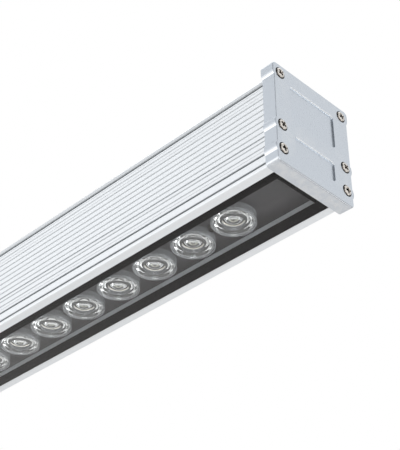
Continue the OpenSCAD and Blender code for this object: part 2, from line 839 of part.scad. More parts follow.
// Dome nut: a hexagon whose outer end runs into a round nose with the cable's opening
module gland_dome_nut() {
  hex_l = gland_nut_l * (1 - gland_dome_share);
  mouth_d = cable_d + gland_wall;
  inner_d = gland_d + 2 * fit;
  thread_l = gland_socket_l + slip;
  color([0.15, 0.15, 0.16]) on_gland() translate([0, 0, gland_ring_t + gland_collar_t]) difference() {
    union() {
      linear_extrude(height = hex_l) hexagon(gland_af);
      rotate_extrude() polygon([
        [0, 0], [gland_af / 2, 0], [gland_af / 2, hex_l],
        [(gland_af + inner_d) / 4, gland_nut_l - gland_wall], [inner_d / 2, gland_nut_l], [0, gland_nut_l]
      ]);
    }
    translate([0, 0, -cut]) cylinder(d = inner_d, h = thread_l + cut);
    drill(mouth_d, 0, gland_nut_l);
  }
}

module gland_locknut() {
  color([0.75, 0.7, 0.6]) on_gland() translate([0, 0, -(cap_t - panel_d) - gland_lock_t]) difference() {
    linear_extrude(height = gland_lock_t) hexagon(gland_lock_af);
    drill(gland_d + 2 * fit, 0, gland_lock_t);
  }
}

// Carries a bracket piece, drawn over the bar's middle, to the right or the left bracket
module on_bracket(side) {
  on_bar() translate([side * bracket_x, 0, 0]) children();
}

// Threaded slider inside the rail's groove
module rail_nut() {
  w = rail_groove_w - 2 * rail_nut_gap;
  z = rail_top_z - slip - rail_nut_h;
  difference() {
    translate([-rail_nut_l / 2, -w / 2, z]) cube([rail_nut_l, w, rail_nut_h]);
    drill(bolt_d + 2 * fit, z, rail_nut_h);
  }
}

// Flanged hexagon bolt with its head up at z = 0 and its shank down
module flange_bolt(length) {
  translate([0, 0, -length]) cylinder(d = bolt_d, h = length + flange_t);
  cylinder(d = flange_d, h = flange_t);
  translate([0, 0, flange_t]) linear_extrude(height = bolt_head_h) hexagon(bolt_head_af);
}

module rail_bolt() {
  head_z = shoe_z + sheet_t;
  nut_low_z = rail_top_z - slip - rail_nut_h;
  translate([0, 0, head_z]) flange_bolt(head_z - nut_low_z);
}

// Section of a bent sheet in the shape of a U, standing on z = 0
module u_section(l, h) {
  outer_r = bend_r + sheet_t;
  difference() {
    union() {
      translate([-l / 2 + outer_r, 0]) square([l - 2 * outer_r, h]);
      translate([-l / 2, outer_r]) square([l, h - outer_r]);
      for (x = [-1, 1]) translate([x * (l / 2 - outer_r), outer_r]) circle(r = outer_r);
    }
    translate([-l / 2 + outer_r, sheet_t]) square([l - 2 * outer_r, h]);
    translate([-l / 2 + sheet_t, outer_r]) square([l - 2 * sheet_t, h]);
    for (x = [-1, 1]) translate([x * (l / 2 - outer_r), outer_r]) circle(r = bend_r);
  }
}

// U of bent sheet with a wide base and narrow ears whose ends are round about the pivot
module u_bracket(l, pivot_rise, base_w) {
  h = pivot_rise + ear_w / 2;
  base_l = l - 2 * (bend_r + sheet_t);
  difference() {
    union() {
      intersection() {
        translate([0, ear_w / 2, 0]) rotate([90, 0, 0]) linear_extrude(height = ear_w) u_section(l, h);
        union() {
          translate([-l / 2, -ear_w / 2, 0]) cube([l, ear_w, pivot_rise]);
          translate([-l / 2, 0, pivot_rise]) rotate([0, 90, 0]) cylinder(d = ear_w, h = l);
        }
      }
      linear_extrude(height = sheet_t)
        translate([0, -base_w / 2]) round_rect(base_l, base_w, foot_corner_r);
    }
    translate([0, 0, pivot_rise]) rotate([0, 90, 0]) drill(bolt_d + 2 * fit, -l / 2, l);
  }
}

module bracket_shoe() {
  translate([0, 0, shoe_z]) difference() {
    u_bracket(shoe_l, pivot_z - shoe_z, shoe_w);
    drill(bolt_d + 2 * bolt_gap, 0, sheet_t);
  }
}

module wall_foot() {
  translate([0, 0, foot_top_z]) mirror([0, 0, 1]) difference() {
    u_bracket(foot_l, foot_reach, foot_w);
    for (s = [-1, 1]) translate([s * slot_pitch / 2, -slot_w / 2, -cut])
      linear_extrude(height = sheet_t + 2 * cut) round_rect(slot_l, slot_w, slot_w / 2);
  }
}

module pivot_bolts() {
  reach = sheet_t + washer_t + sheet_t + 3 * slip + nut_t + bolt_end;
  for (s = [-1, 1])
    translate([s * (foot_l / 2 + slip), 0, pivot_z]) rotate([0, s * 90, 0]) flange_bolt(reach);
}

// Washers between the ears of the shoe and those of the foot
module pivot_washers() {
  for (s = [-1, 1]) translate([s * shoe_l / 2, 0, pivot_z]) rotate([0, s * 90, 0]) difference() {
    cylinder(d = washer_d, h = washer_t);
    drill(bolt_d + 2 * fit, 0, washer_t);
  }
}

module pivot_nuts() {
  for (s = [-1, 1]) translate([s * (shoe_l / 2 - sheet_t), 0, pivot_z]) rotate([0, -s * 90, 0])
    difference() {
      linear_extrude(height = nut_t) hexagon(bolt_head_af);
      drill(bolt_d + 2 * fit, 0, nut_t);
    }
}

module right_rail_nut() { color([0.6, 0.62, 0.65]) on_bracket(1) rail_nut(); }
module left_rail_nut() { color([0.6, 0.62, 0.65]) on_bracket(-1) rail_nut(); }
module right_rail_bolt() { color([0.7, 0.7, 0.72]) on_bracket(1) rail_bolt(); }
module left_rail_bolt() { color([0.7, 0.7, 0.72]) on_bracket(-1) rail_bolt(); }
module right_bracket_shoe() { color([0.8, 0.82, 0.84]) on_bracket(1) bracket_shoe(); }
module left_bracket_shoe() { color([0.8, 0.82, 0.84]) on_bracket(-1) bracket_shoe(); }
module right_wall_foot() { color([0.85, 0.86, 0.88]) on_bracket(1) wall_foot(); }
module left_wall_foot() { color([0.85, 0.86, 0.88]) on_bracket(-1) wall_foot(); }
module right_pivot_bolts() { color([0.7, 0.7, 0.72]) on_bracket(1) pivot_bolts(); }
module left_pivot_bolts() { color([0.7, 0.7, 0.72]) on_bracket(-1) pivot_bolts(); }
module right_pivot_nuts() { color([0.7, 0.7, 0.72]) on_bracket(1) pivot_nuts(); }
module left_pivot_nuts() { color([0.7, 0.7, 0.72]) on_bracket(-1) pivot_nuts(); }
module right_pivot_washers() { color([0.75, 0.75, 0.77]) on_bracket(1) pivot_washers(); }
module left_pivot_washers() { color([0.75, 0.75, 0.77]) on_bracket(-1) pivot_washers(); }

housing();
right_end_cap();
left_end_cap();
right_end_gasket();
left_end_gasket();
right_cap_screws();
left_cap_screws();
window_glass();
window_border();
window_sealant();
right_led_board();
left_led_board();
led_chips();
lens_holders();
lenses();
board_screws();
board_link_wires();
driver_tray();
driver_board();
driver_components();
driver_screws();
terminal_block();
led_wires();
wire_grommet();
earth_screw();
earth_wire();
gland_body();
gland_o_ring();
gland_seal();
gland_dome_nut();
gland_locknut();
right_rail_nut();
left_rail_nut();
right_rail_bolt();
left_rail_bolt();
right_bracket_shoe();
left_bracket_shoe();
right_wall_foot();
left_wall_foot();
right_pivot_bolts();
left_pivot_bolts();
right_pivot_nuts();
left_pivot_nuts();
right_pivot_washers();
left_pivot_washers();
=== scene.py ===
from math import acos, cos, pi, radians, sin

import bmesh
import bpy
from mathutils import Matrix, Vector


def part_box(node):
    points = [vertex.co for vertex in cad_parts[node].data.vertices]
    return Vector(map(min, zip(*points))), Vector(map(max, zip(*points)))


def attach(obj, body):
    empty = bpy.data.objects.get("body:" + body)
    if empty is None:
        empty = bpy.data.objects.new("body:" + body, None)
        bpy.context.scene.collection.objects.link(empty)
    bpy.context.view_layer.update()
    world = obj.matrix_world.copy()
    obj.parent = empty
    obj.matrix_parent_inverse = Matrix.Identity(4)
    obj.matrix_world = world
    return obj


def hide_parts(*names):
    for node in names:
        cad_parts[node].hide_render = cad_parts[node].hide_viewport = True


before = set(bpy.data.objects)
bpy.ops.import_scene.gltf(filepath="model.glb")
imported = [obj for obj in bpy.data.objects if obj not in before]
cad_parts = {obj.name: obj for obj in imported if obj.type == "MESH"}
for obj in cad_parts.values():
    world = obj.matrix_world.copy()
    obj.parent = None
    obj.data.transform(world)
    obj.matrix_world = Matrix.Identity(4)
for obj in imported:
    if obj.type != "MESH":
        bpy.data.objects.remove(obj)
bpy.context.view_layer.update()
MM = 0.001
scene = bpy.context.scene
scene.view_settings.view_transform = "Standard"

# Camera
# The light is seen from below and from its right end, as a fitting overhead is seen. The camera's
# place and turn were solved from the bar's straight edges and the outline of its end cap.
camera_place = (0.79578, -0.36803, -0.35412)
look = Vector((-0.57680643, 0.57496078, 0.58027101))
right = Vector((0.706281847, 0.707930488, 0.000612888))
turn = Matrix((right, right.cross(look), look * -1)).transposed()
camera_data = bpy.data.cameras.new("camera")
camera_data.lens = 93.62
camera = bpy.data.objects.new("camera", camera_data)
scene.collection.objects.link(camera)
camera.matrix_world = Matrix.Translation(camera_place) @ turn.to_4x4()
scene.camera = camera


# Studio
# A pale floor well below the light, a white surround, six soft lamps and a dark card beside the
# right cap. The card is there for the metal to reflect, and the camera doesn't see it. From below,
# the camera sees through the floor.
FLOOR_Z = -0.62
FLOOR_HALF = 12
FLOOR_GLOW = 0.45
CARD_HALF = 0.4
card_place = (1.03, -0.62, 0.72)
card_faces = Vector((-0.52, 0.62, -0.67))


def add_node(tree, kind, inputs=None, **settings):
    made = tree.nodes.new(kind)
    for key, value in settings.items():
        setattr(made, key, value)
    for key, value in (inputs or {}).items():
        if isinstance(value, bpy.types.NodeSocket):
            tree.links.new(value, made.inputs[key])
        else:
            made.inputs[key].default_value = value
    return made


def math(tree, operation, first, second=0.0):
    return add_node(tree, "ShaderNodeMath", {0: first, 1: second}, operation=operation).outputs[0]


def ray(tree, kind):
    return add_node(tree, "ShaderNodeLightPath").outputs[kind]


def seen_directly(tree):
    mirrored = math(tree, "MAXIMUM", ray(tree, "Is Camera Ray"), ray(tree, "Is Glossy Ray"))
    return math(tree, "MAXIMUM", mirrored, ray(tree, "Is Transmission Ray"))


def mixed_shader(tree, factor, first, second):
    return add_node(tree, "ShaderNodeMixShader", {0: factor, 1: first.outputs[0], 2: second.outputs[0]})


def finish(name, colour, **sockets):
    made = bpy.data.materials.new(name)
    made.use_nodes = True
    tree = made.node_tree
    bsdf = tree.nodes["Principled BSDF"]
    bsdf.inputs["Base Color"].default_value = (*colour, 1)
    for label, value in sockets.items():
        bsdf.inputs[label.replace("_", " ")].default_value = value
    return made, tree, bsdf


def studio_sheet(name, half, placed, material):
    bm = bmesh.new()
    bmesh.ops.create_grid(bm, x_segments=1, y_segments=1, size=half, matrix=placed)
    mesh = bpy.data.meshes.new(name)
    bm.to_mesh(mesh)
    bm.free()
    mesh.materials.append(material)
    made = bpy.data.objects.new(name, mesh)
    scene.collection.objects.link(made)
    return made


world = bpy.data.worlds.new("surround")
scene.world = world
world.use_nodes = True
tree = world.node_tree
tree.nodes.clear()
lit = add_node(tree, "ShaderNodeBackground", {"Color": (0.95, 0.97, 1.0, 1), "Strength": 0.4})
seen = add_node(tree, "ShaderNodeBackground", {"Color": (1, 1, 1, 1), "Strength": 1.0})
both = mixed_shader(tree, seen_directly(tree), lit, seen)
add_node(tree, "ShaderNodeOutputWorld", {"Surface": both.outputs[0]})

floor_finish = bpy.data.materials.new("floor_finish")
floor_finish.use_nodes = True
tree = floor_finish.node_tree
tree.nodes.clear()
matt = add_node(tree, "ShaderNodeBsdfDiffuse", {"Color": (0.8, 0.78, 0.76, 1)})
pale = math(tree, "MULTIPLY", seen_directly(tree), FLOOR_GLOW)
glow = add_node(tree, "ShaderNodeEmission", {"Color": (1.0, 0.97, 0.94, 1), "Strength": pale})
whole = add_node(tree, "ShaderNodeAddShader", {0: matt.outputs[0], 1: glow.outputs[0]})
underside = add_node(tree, "ShaderNodeNewGeometry").outputs["Backfacing"]
from_below = math(tree, "MULTIPLY", underside, ray(tree, "Is Camera Ray"))
one_sided = mixed_shader(tree, from_below, whole, add_node(tree, "ShaderNodeBsdfTransparent"))
add_node(tree, "ShaderNodeOutputMaterial", {"Surface": one_sided.outputs[0]})
studio_sheet("floor", FLOOR_HALF, Matrix.Translation((0, 0, FLOOR_Z)), floor_finish)

card_finish, tree, bsdf = finish("card_finish", (0.02, 0.02, 0.02), Roughness=1.0)
card_turn = card_faces.to_track_quat("-Z", "Y").to_matrix().to_4x4()
card = studio_sheet("dark_card", CARD_HALF, Matrix.Translation(card_place) @ card_turn, card_finish)
card.visible_camera = False


def soft_lamp(name, place, aim, width, height, power):
    lamp = bpy.data.lights.new(name, "AREA")
    lamp.shape = "RECTANGLE"
    lamp.size = width
    lamp.size_y = height
    lamp.energy = power
    made = bpy.data.objects.new(name, lamp)
    scene.collection.objects.link(made)
    made.location = place
    made.rotation_euler = (Vector(aim) - Vector(place)).to_track_quat("-Z", "Y").to_euler()
    made.visible_camera = False


soft_lamp("lamp_in_front", (-0.4, -1.4, -0.22), (0.1, 0, 0.03), width=2.6, height=0.7, power=6)
soft_lamp("lamp_up_left", (-0.8, -1.05, 1.0), (0.2, 0, 0.03), width=1.6, height=1.0, power=1.75)
soft_lamp("lamp_low_behind", (1.0, 0.62, -0.5), (0.5, 0, 0.03), width=0.5, height=0.4, power=2)
soft_lamp("lamp_at_the_end", (2.4, 0.3, 0.2), (0.5, 0, 0.03), width=1.4, height=1.4, power=4)
soft_lamp("lamp_below_right", (0.95, -0.62, -0.58), (0.35, 0, 0), width=0.5, height=0.5, power=3.5)
soft_lamp("lamp_above", (0, 0.4, 2.2), (0, 0, 0.03), width=2.4, height=1.6, power=14)


# Housing
# One aluminium extrusion, satin anodised, with fins along both sides, ledges for the glass, a web
# that carries the boards and a rail in its back. The die leaves faint lines along it.
housing_low, housing_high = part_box("housing")
FIN_TIP = housing_high[1]
BODY_FOOT = housing_low[2]
BODY_BACK = housing_high[2]
BUMP_DEPTH = 0.1 * MM


def shared_effect(name, inputs, outputs):
    group = bpy.data.node_groups.new(name, "ShaderNodeTree")
    for label, value in inputs.items():
        socket = group.interface.new_socket(label, in_out="INPUT", socket_type="NodeSocketFloat")
        socket.default_value = value
    for label in outputs:
        group.interface.new_socket(label, in_out="OUTPUT", socket_type="NodeSocketFloat")
    return group, group.nodes.new("NodeGroupInput"), group.nodes.new("NodeGroupOutput")


def noise(tree, stretch, detail):
    place = add_node(tree, "ShaderNodeTexCoord")
    scaled = add_node(tree, "ShaderNodeMapping", {"Vector": place.outputs["Object"], "Scale": stretch})
    return add_node(tree, "ShaderNodeTexNoise", {"Vector": scaled.outputs[0], "Scale": 1.0,
                    "Detail": detail, "Roughness": 0.55}).outputs["Fac"]


def positions(tree):
    place = add_node(tree, "ShaderNodeTexCoord").outputs["Object"]
    return add_node(tree, "ShaderNodeSeparateXYZ", {0: place}).outputs


def facing_up(tree):
    normal = add_node(tree, "ShaderNodeNewGeometry").outputs["Normal"]
    return add_node(tree, "ShaderNodeSeparateXYZ", {0: normal}).outputs["Z"]


def ranged(tree, value, low, high, to_low, to_high):
    return add_node(tree, "ShaderNodeMapRange", {"Value": value, "From Min": low, "From Max": high,
                    "To Min": to_low, "To Max": to_high}).outputs[0]


def all_of(tree, first, *others):
    for other in others:
        first = math(tree, "MULTIPLY", first, other)
    return first


def within(tree, value, low, high):
    return all_of(tree, math(tree, "GREATER_THAN", value, low), math(tree, "LESS_THAN", value, high))


def mostly_fine(tree, fine, broad):
    return math(tree, "ADD", math(tree, "MULTIPLY", fine, 0.6), math(tree, "MULTIPLY", broad, 0.4))


def around_one(group, value, strength):
    swing = all_of(group, math(group, "SUBTRACT", value, 0.5), strength)
    return math(group, "ADD", swing, 1.0)


# Fine lines along the bar, as a die or a roll leaves them
die_lines, given, result = shared_effect("die_lines", {"Strength": 1.0}, ["Shade", "Height"])
lines = mostly_fine(die_lines, noise(die_lines, (4, 2600, 2600), 2), noise(die_lines, (2, 300, 300), 2))
die_lines.links.new(around_one(die_lines, lines, given.outputs["Strength"]), result.inputs["Shade"])
die_lines.links.new(lines, result.inputs["Height"])

# Even grain, as sand casting, bead blasting or moulded texture leaves it
grain, given, result = shared_effect("grain", {"Strength": 1.0, "Size": 1.0}, ["Shade", "Height"])
place = add_node(grain, "ShaderNodeTexCoord")
sized = add_node(grain, "ShaderNodeVectorMath", {0: place.outputs["Object"], 3: 1.0}, operation="SCALE")
grain.links.new(math(grain, "DIVIDE", 1600.0, given.outputs["Size"]), sized.inputs[3])
fine = add_node(grain, "ShaderNodeTexNoise", {"Vector": sized.outputs[0], "Scale": 1.0, "Detail": 3.0})
mixed = mostly_fine(grain, fine.outputs["Fac"], noise(grain, (60, 60, 60), 2))
grain.links.new(around_one(grain, mixed, given.outputs["Strength"]), result.inputs["Shade"])
grain.links.new(fine.outputs["Fac"], result.inputs["Height"])

# Bare or polished edges, broken up by noise
edge_wear, given, result = shared_effect("edge_wear", {"Amount": 1.0}, ["Mask"])
bend = add_node(edge_wear, "ShaderNodeNewGeometry").outputs["Pointiness"]
rim = ranged(edge_wear, bend, 0.515, 0.56, 0, 1)
patchy = ranged(edge_wear, noise(edge_wear, (240, 240, 240), 3), 0.4, 0.62, 0.3, 1)
edge_wear.links.new(all_of(edge_wear, rim, patchy, given.outputs["Amount"]), result.inputs["Mask"])

# Thin dust on faces that look up
dust, given, result = shared_effect("dust", {"Amount": 1.0}, ["Mask"])
level = ranged(dust, facing_up(dust), 0.5, 0.95, 0, 1)
cloudy = ranged(dust, noise(dust, (35, 60, 60), 4), 0.42, 0.68, 0, 1)
dust.links.new(all_of(dust, level, cloudy, given.outputs["Amount"]), result.inputs["Mask"])


def use(tree, group, **inputs):
    made = add_node(tree, "ShaderNodeGroup", node_tree=group)
    for label, value in inputs.items():
        made.inputs[label].default_value = value
    return made.outputs


def mixed_colour(tree, factor, first, second, blend="MIX"):
    made = add_node(tree, "ShaderNodeMix", data_type="RGBA", blend_type=blend)
    for index, value in ((0, factor), (6, first), (7, second)):
        if isinstance(value, bpy.types.NodeSocket):
            tree.links.new(value, made.inputs[index])
        else:
            made.inputs[index].default_value = (*value, 1) if isinstance(value, tuple) else value
    return made.outputs[2]


def shaded(tree, colour, shade):
    grey = add_node(tree, "ShaderNodeCombineColor", {0: shade, 1: shade, 2: shade}).outputs[0]
    return mixed_colour(tree, 1.0, colour, grey, "MULTIPLY")


def roughened(tree, bsdf, height, low, high):
    tree.links.new(ranged(tree, height, 0.3, 0.7, low, high), bsdf.inputs["Roughness"])


def raised(tree, bsdf, height, strength):
    bump = add_node(tree, "ShaderNodeBump", {"Height": height, "Strength": strength, "Distance": BUMP_DEPTH})
    tree.links.new(bump.outputs[0], bsdf.inputs["Normal"])


SATIN = (0.82, 0.85, 0.88)
extrusion, tree, bsdf = finish("satin_extrusion", SATIN, Metallic=0.7, Roughness=0.42)
lines = use(tree, die_lines, Strength=0.14)
parts = positions(tree)
side = math(tree, "ABSOLUTE", parts["Y"])
outside = math(tree, "GREATER_THAN", side, FIN_TIP - 1.5 * MM)

# Shade painted on by place, the deeper the darker, in the grooves between the fins
RIM_TOP = BODY_FOOT + 1.2 * MM
CORNER_FOOT = BODY_BACK - 4.2 * MM
groove = ranged(tree, side, FIN_TIP - 1.05 * MM, FIN_TIP + 0.03 * MM, 1, 0)
in_groove = all_of(tree, groove, outside, within(tree, parts["Z"], RIM_TOP, CORNER_FOOT))
colour = mixed_colour(tree, in_groove, SATIN, (0.11, 0.125, 0.135))

# Shade painted on a band under the upper corners
band_foot = ranged(tree, parts["Z"], BODY_BACK - 5.3 * MM, BODY_BACK - 4.9 * MM, 0, 1)
band_top = ranged(tree, parts["Z"], BODY_BACK - 3.3 * MM, BODY_BACK - 2.7 * MM, 1, 0)
colour = mixed_colour(tree, all_of(tree, band_foot, band_top, outside, 0.45), colour, (0.4, 0.42, 0.44))

# Shade painted on all within 22 mm of the middle, which is a little darker: the channel behind the glass,
# the driver space, and the rail with the middle of the back
inner = math(tree, "LESS_THAN", side, 22 * MM)
over_rim = ranged(tree, parts["Z"], BODY_FOOT + 0.9 * MM, BODY_FOOT + 1.1 * MM, 0, 1)
colour = mixed_colour(tree, all_of(tree, inner, over_rim), colour, (0.63, 0.65, 0.68))

colour = mixed_colour(tree, use(tree, dust, Amount=0.18)["Mask"], colour, (0.55, 0.53, 0.5))
tree.links.new(shaded(tree, colour, lines["Shade"]), bsdf.inputs["Base Color"])
roughened(tree, bsdf, lines["Height"], 0.36, 0.5)
raised(tree, bsdf, lines["Height"], 0.12)
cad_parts["housing"].material_slots[0].material = extrusion


# End caps
# Die-cast aluminium caps in silver paint, screwed to the body's ends. Each has a lobe round every
# screw, two shallow panels with rounded corners in its face, and soft edges. The left cap also has
# the hole for the cable gland.
cap_low, cap_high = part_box("right_end_cap")
CAP_FACE = cap_high[0]
CAP_BACK = cap_low[0]
CAP_TOP = cap_high[2]
CAP_HALF = cap_high[1]
BAR_MIDDLE = (CAP_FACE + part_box("left_end_cap")[0][0]) / 2
CAP_EDGE_R = 0.4 * MM
CAP_BEVEL = 0.2 * MM
LOBE = 5.6 * MM
SCREW_Y = CAP_HALF - LOBE
SCREW_ZS = (9.5 * MM, 24.6 * MM, CAP_TOP - LOBE)
CAP_SIDE = CAP_HALF - 1 * MM
CAP_TOP_R = 2.5 * MM
CAP_LOW_R = 2.6 * MM
UPPER_PANEL = ((-17.31 * MM, 33.28 * MM), (17.31 * MM, 55.12 * MM))
LOWER_PANEL = ((-15.3 * MM, 10.075 * MM), (15.3 * MM, 22.62 * MM))
PANEL_DEPTH = 0.9 * MM
PANEL_R = 1.8 * MM
PANEL_DRAFT = 0.1 * MM
LIP_R = 0.12 * MM
POCKET_R = 3.4 * MM
POCKET_DEPTH = 1.58 * MM
GLAND_HOLE = (0, 42.5 * MM)
GLAND_HOLE_R = 6.05 * MM


def quarter_turn(steps):
    return [i * pi / (2 * steps) for i in range(steps + 1)]


def arc(bm, x, centre, radius, start, end, steps):
    first = len(bm.verts)
    begin = bm.verts.new((x, centre[0] + radius * cos(start), centre[1] + radius * sin(start)))
    bmesh.ops.spin(bm, geom=[begin], cent=(x, *centre), axis=(1, 0, 0), angle=end - start, steps=steps)
    bm.verts.ensure_lookup_table()
    return bm.verts[first:]


def joined(bm, verts):
    for i in range(len(verts)):
        pair = (verts[i - 1], verts[i])
        if not bm.edges.get(pair):
            bm.edges.new(pair)
    return [bm.edges.get((verts[i - 1], verts[i])) for i in range(len(verts))]


def rounded_loop(bm, x, low, high, radius):
    verts = []
    corners = ((high[0], low[1], -90), (high[0], high[1], 0), (low[0], high[1], 90), (low[0], low[1], 180))
    for y, z, turned in corners:
        centre = (y - radius * (1 if y == high[0] else -1), z - radius * (1 if z == high[1] else -1))
        verts += arc(bm, x, centre, radius, radians(turned), radians(turned + 90), steps=6)
    return joined(bm, verts)


def round_hole(bm, x, centre, radius, steps=40):
    placed = Matrix.Translation((x, *centre)) @ Matrix.Rotation(pi / 2, 4, "Y")
    made = bmesh.ops.create_circle(bm, segments=steps, radius=radius, matrix=placed)
    return list({e for v in made["verts"] for e in v.link_edges})


def bridged(bm, loops):
    for first, second in zip(loops, loops[1:]):
        bmesh.ops.bridge_loops(bm, edges=first + second)


def filled(bm, loops):
    edges = [e for loop in loops for e in loop]
    bmesh.ops.triangle_fill(bm, edges=edges, use_beauty=True, use_dissolve=False)


def to_piece(name, bm, body, nodes, material, sharp=35, weighted=True):
    bmesh.ops.remove_doubles(bm, verts=bm.verts, dist=1e-7)
    bmesh.ops.recalc_face_normals(bm, faces=bm.faces)
    for face in bm.faces:
        face.smooth = True
    mesh = bpy.data.meshes.new(name)
    bm.to_mesh(mesh)
    bm.free()
    mesh.set_sharp_from_angle(angle=radians(sharp))
    mesh.materials.append(material)
    piece = bpy.data.objects.new(name, mesh)
    scene.collection.objects.link(piece)
    if weighted:
        piece.modifiers.new("even_faces", "WEIGHTED_NORMAL").keep_sharp = True
    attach(piece, body)
    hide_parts(*nodes)


def cap_outline(bm, x, inset):
    side = CAP_SIDE - inset
    lobe = LOBE - inset
    half = acos((side - SCREW_Y) / lobe)
    near = [((CAP_SIDE - CAP_LOW_R, CAP_LOW_R), CAP_LOW_R - inset, -pi / 2, 0, 5)]
    near += [((SCREW_Y, z), lobe, -half, half, 12) for z in SCREW_ZS[:2]]
    near += [((SCREW_Y, SCREW_ZS[2]), lobe, -half, 0, 6)]
    near += [((CAP_HALF - CAP_TOP_R, CAP_TOP - CAP_TOP_R), CAP_TOP_R - inset, 0, pi / 2, 8)]
    verts = []
    for centre, radius, start, end, steps in near:
        verts += arc(bm, x, centre, radius, start, end, steps)
    for centre, radius, start, end, steps in reversed(near):
        verts += arc(bm, x, (-centre[0], centre[1]), radius, pi - end, pi - start, steps)
    return joined(bm, verts)


def panel_walls(bm, low, high):
    floor = CAP_FACE - PANEL_DEPTH
    steps = [(CAP_FACE - LIP_R * (1 - cos(turned)), LIP_R * (1 - sin(turned)))
             for turned in quarter_turn(4)]
    steps += [(floor + LIP_R * (1 - sin(turned)), -LIP_R * (1 - cos(turned)) - PANEL_DRAFT)
              for turned in quarter_turn(4)]
    loops = [rounded_loop(bm, x, (low[0] - out, low[1] - out), (high[0] + out, high[1] + out), PANEL_R + out)
             for x, out in steps]
    bridged(bm, loops)
    return loops[0], loops[-1]


def screw_pocket(bm, y, z):
    sizes = ((0, LIP_R), (LIP_R * 0.3, LIP_R * 0.3), (LIP_R, 0), (POCKET_DEPTH, 0))
    loops = [round_hole(bm, CAP_FACE - depth, (y, z), POCKET_R + out) for depth, out in sizes]
    bridged(bm, loops)
    filled(bm, [loops[-1]])
    return loops[0]


def cap_casting(left):
    bm = bmesh.new()
    edge = [cap_outline(bm, CAP_FACE - CAP_EDGE_R * (1 - sin(turned)), CAP_EDGE_R * (1 - cos(turned)))
            for turned in quarter_turn(5)]
    back = [cap_outline(bm, CAP_BACK, CAP_BEVEL), cap_outline(bm, CAP_BACK + CAP_BEVEL, 0)]
    bridged(bm, back + edge)
    face_holes = []
    for panel in (UPPER_PANEL, LOWER_PANEL):
        rim, foot = panel_walls(bm, *panel)
        face_holes.append(rim)
        floor_loops = [foot]
        if left and panel == UPPER_PANEL:
            bore = [round_hole(bm, x, GLAND_HOLE, GLAND_HOLE_R, 48)
                    for x in (CAP_FACE - PANEL_DEPTH, CAP_BACK)]
            bridged(bm, bore)
            floor_loops.append(bore[0])
            filled(bm, [back[0], bore[1]])
        filled(bm, floor_loops)
    if not left:
        filled(bm, [back[0]])
    for y in (-SCREW_Y, SCREW_Y):
        for z in SCREW_ZS:
            face_holes.append(screw_pocket(bm, y, z))
    filled(bm, [edge[-1]] + face_holes)
    if left:
        flip = Matrix.Translation((2 * BAR_MIDDLE, 0, 0)) @ Matrix.Diagonal((-1, 1, 1, 1))
        bmesh.ops.transform(bm, matrix=flip, verts=bm.verts)
    return bm


def below_face(tree, along):
    from_middle = math(tree, "ABSOLUTE", math(tree, "SUBTRACT", along, BAR_MIDDLE))
    return math(tree, "SUBTRACT", CAP_FACE - BAR_MIDDLE, from_middle)


SILVER = (0.56, 0.605, 0.66)
SILVER_METAL = 0.85
cap_paint, tree, bsdf = finish("cap_paint", SILVER, Metallic=SILVER_METAL, Roughness=0.28)
speck = use(tree, grain, Strength=0.05, Size=1.0)
colour = mixed_colour(tree, use(tree, edge_wear, Amount=0.7)["Mask"], SILVER, (0.7, 0.72, 0.74))
colour = mixed_colour(tree, use(tree, dust, Amount=0.15)["Mask"], colour, (0.5, 0.48, 0.45))
parts = positions(tree)
side = math(tree, "ABSOLUTE", parts["Y"])
depth = below_face(tree, parts["X"])
slope = facing_up(tree)
near_panels = all_of(tree, math(tree, "LESS_THAN", side, UPPER_PANEL[1][0] + 1.2 * MM),
                     math(tree, "GREATER_THAN", parts["Z"], LOWER_PANEL[0][1] - 4 * MM))

# Light painted on the upper walls of the panels, which the lamps here don't give
into_edge = ranged(tree, depth, 0.02 * MM, 0.06 * MM, 0, 1)
above_floor = math(tree, "LESS_THAN", depth, 0.62 * MM)
lit_wall = all_of(tree, ranged(tree, slope, -0.55, -0.3, 1, 0), into_edge, above_floor, near_panels)
colour = mixed_colour(tree, lit_wall, colour, (0.94, 0.95, 0.95))
metal = math(tree, "MULTIPLY", math(tree, "SUBTRACT", 1.0, lit_wall), SILVER_METAL)
tree.links.new(metal, bsdf.inputs["Metallic"])

# Shade painted on the lower edge of the face
low_edge = ranged(tree, parts["Z"], 0.5 * MM, 1.2 * MM, 1, 0)
near_face = ranged(tree, depth, 0.4 * MM, 0.7 * MM, 1, 0)
colour = mixed_colour(tree, all_of(tree, low_edge, near_face), colour, (0.4, 0.42, 0.45))

# Shade painted on the sides, darker than the face, and a highlight painted on the undersides of the lobes,
# nearly white
on_side = ranged(tree, side, CAP_SIDE - 0.4 * MM, CAP_SIDE - 0.1 * MM, 0, 1)
colour = mixed_colour(tree, on_side, colour, (0.5, 0.54, 0.59))
lobe_highlight = ranged(tree, slope, -0.5, -0.12, 1, 0)
colour = mixed_colour(tree, all_of(tree, lobe_highlight, on_side), colour, (0.95, 0.97, 1.0))

# Shade painted on the side walls of the panels and in the screw pockets
lower_half = LOWER_PANEL[1][0]
upper = math(tree, "GREATER_THAN", parts["Z"], (UPPER_PANEL[0][1] + LOWER_PANEL[1][1]) / 2)
panel_half = math(tree, "ADD", lower_half, math(tree, "MULTIPLY", upper, UPPER_PANEL[1][0] - lower_half))
at_wall = ranged(tree, math(tree, "SUBTRACT", side, panel_half), -0.4 * MM, 0, 0, 1)
side_wall = all_of(tree, ranged(tree, depth, 0.3 * MM, 0.5 * MM, 0, 1), at_wall, near_panels, 0.5)
across = within(tree, side, SCREW_Y - POCKET_R - 0.5 * MM, SCREW_Y + POCKET_R + 0.1 * MM)
upward = within(tree, parts["Z"], SCREW_ZS[0] - POCKET_R - 1.1 * MM, SCREW_ZS[2] + POCKET_R + 0.6 * MM)
inward = all_of(tree, ranged(tree, depth, 0.15 * MM, 0.5 * MM, 0, 1), math(tree, "LESS_THAN", depth, 2 * MM))
dark = math(tree, "MAXIMUM", side_wall, all_of(tree, across, upward, inward))
colour = mixed_colour(tree, dark, colour, (0.09, 0.1, 0.115))

